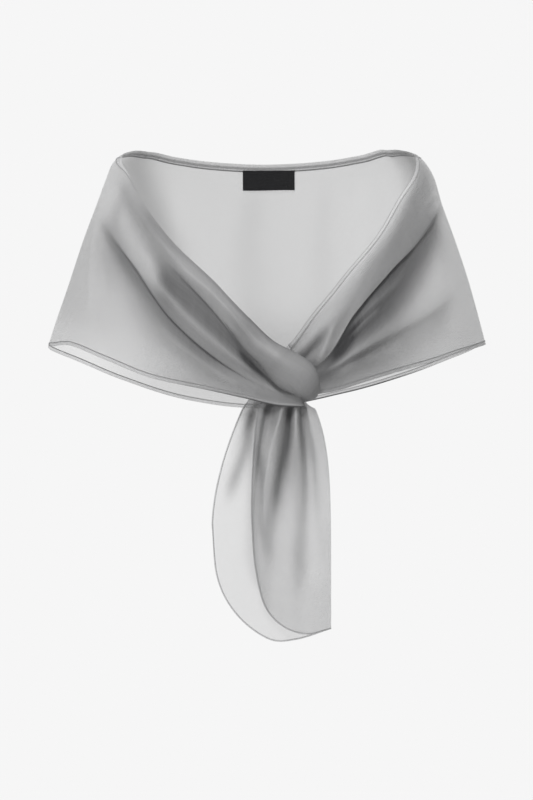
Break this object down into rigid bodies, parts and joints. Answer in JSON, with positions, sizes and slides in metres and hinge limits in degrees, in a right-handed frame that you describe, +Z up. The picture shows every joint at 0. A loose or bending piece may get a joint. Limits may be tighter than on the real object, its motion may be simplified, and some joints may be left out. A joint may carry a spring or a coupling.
{
  "type": "evening stole",
  "caption": "Sheer organza evening stole worn round bare shoulders: a wide strip whose one end is pulled through a loop at the chest and hangs as a folded tail.",
  "frame": {"origin": "midway between the tops of the two shoulders, where the wearer carries the stole", "axes": "+Z up, -Y towards the front with the loop and the tail, +X towards the right of a viewer in front"},
  "size_m": [0.5041, 0.3095, 0.5615],
  "materials": {
    "organza": "sheer satin organza, mid grey, one layer lets about half of the light through",
    "label_tape": "black woven tape, matt, bare"
  },
  "bodies": {
    "root": {"back": "organza", "left_front": "organza", "right_front": "organza", "loop": "organza", "tail": "organza", "label": "label_tape"}
  },
  "joints": []
}
